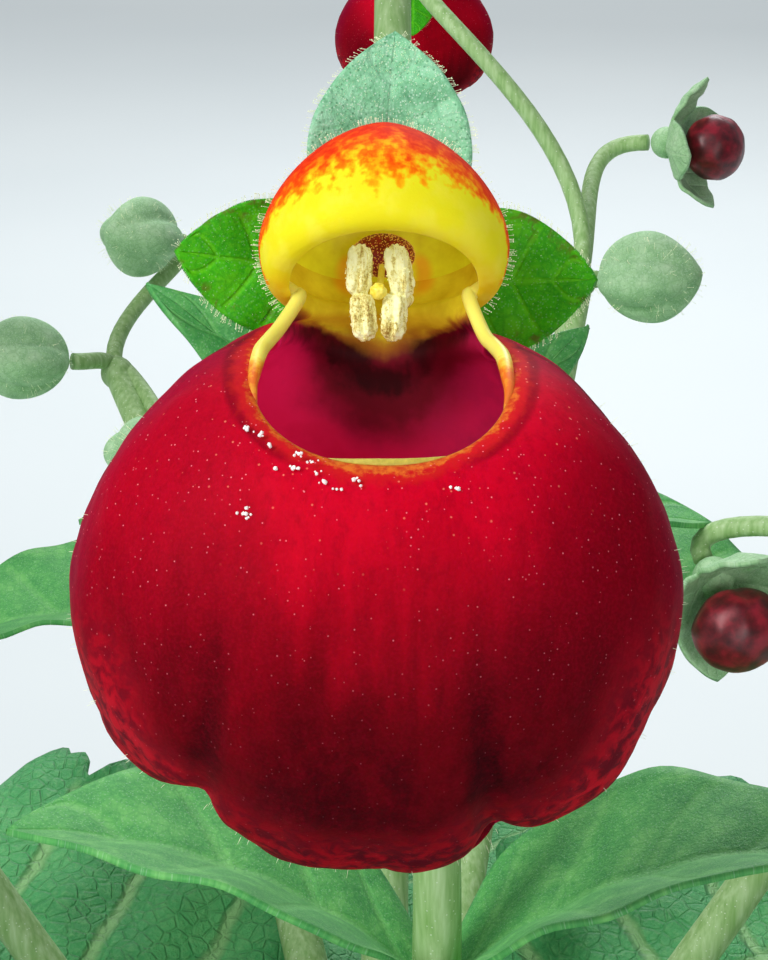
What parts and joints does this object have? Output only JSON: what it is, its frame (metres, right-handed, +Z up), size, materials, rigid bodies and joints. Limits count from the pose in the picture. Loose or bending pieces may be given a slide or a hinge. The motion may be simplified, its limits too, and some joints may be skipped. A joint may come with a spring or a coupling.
{
  "type": "potted pocketbook plant",
  "caption": "Potted pocketbook plant in a clay pot: wrinkled, toothed leaves round a short crown, and branching stems that carry red pouch-shaped flowers under yellow hoods, and buds.",
  "frame": {"origin": "middle of the pot's flat underside, on the surface that it stands on", "axes": "+Z up; the front flower faces -Y; +X to the right seen from the front"},
  "size_m": [0.1471, 0.1632, 0.2323],
  "materials": {
    "clay": "matte",
    "soil": "matte",
    "stem": "satin",
    "leaf": "satin",
    "sepal": "matte",
    "pouch": "satin",
    "hood": "satin",
    "pollen": "matte",
    "pistil": "matte"
  },
  "bodies": {
    "root": {"pot": "clay", "soil": "soil", "crown": "stem", "stem_front": "stem", "stem_left": "stem", "stem_right": "stem", "stem_back_right": "stem", "stem_back_left": "stem", "stem_centre": "stem", "leaf_low_1": "leaf", "leaf_low_2": "leaf", "leaf_low_3": "leaf", "leaf_low_4": "leaf", "leaf_low_5": "leaf", "leaf_low_6": "leaf", "leaf_high_1": "leaf", "leaf_high_2": "leaf", "leaf_high_3": "leaf", "leaf_high_4": "leaf", "hero_pouch": "pouch", "hero_calyx": "sepal", "hero_hood": "hood", "hero_stamen_left": "pollen", "hero_stamen_right": "pollen", "hero_pistil": "pistil", "front_left_pouch": "pouch", "front_left_calyx": "sepal", "front_left_hood": "hood", "front_right_pouch": "pouch", "front_right_calyx": "sepal", "front_right_hood": "hood", "back_left_pouch": "pouch", "back_left_calyx": "sepal", "back_left_hood": "hood", "back_right_pouch": "pouch", "back_right_calyx": "sepal", "back_right_hood": "hood", "top_pouch": "pouch", "top_calyx": "sepal", "top_hood": "hood", "rear_pouch": "pouch", "rear_calyx": "sepal", "rear_hood": "hood", "bud_right_high_calyx": "sepal", "bud_right_high_pouch": "pouch", "bud_right_middle_calyx": "sepal", "bud_right_low_calyx": "sepal", "bud_right_low_pouch": "pouch", "bud_left_high_calyx": "sepal", "bud_left_middle_calyx": "sepal", "bud_left_low_calyx": "sepal"}
  },
  "joints": []
}
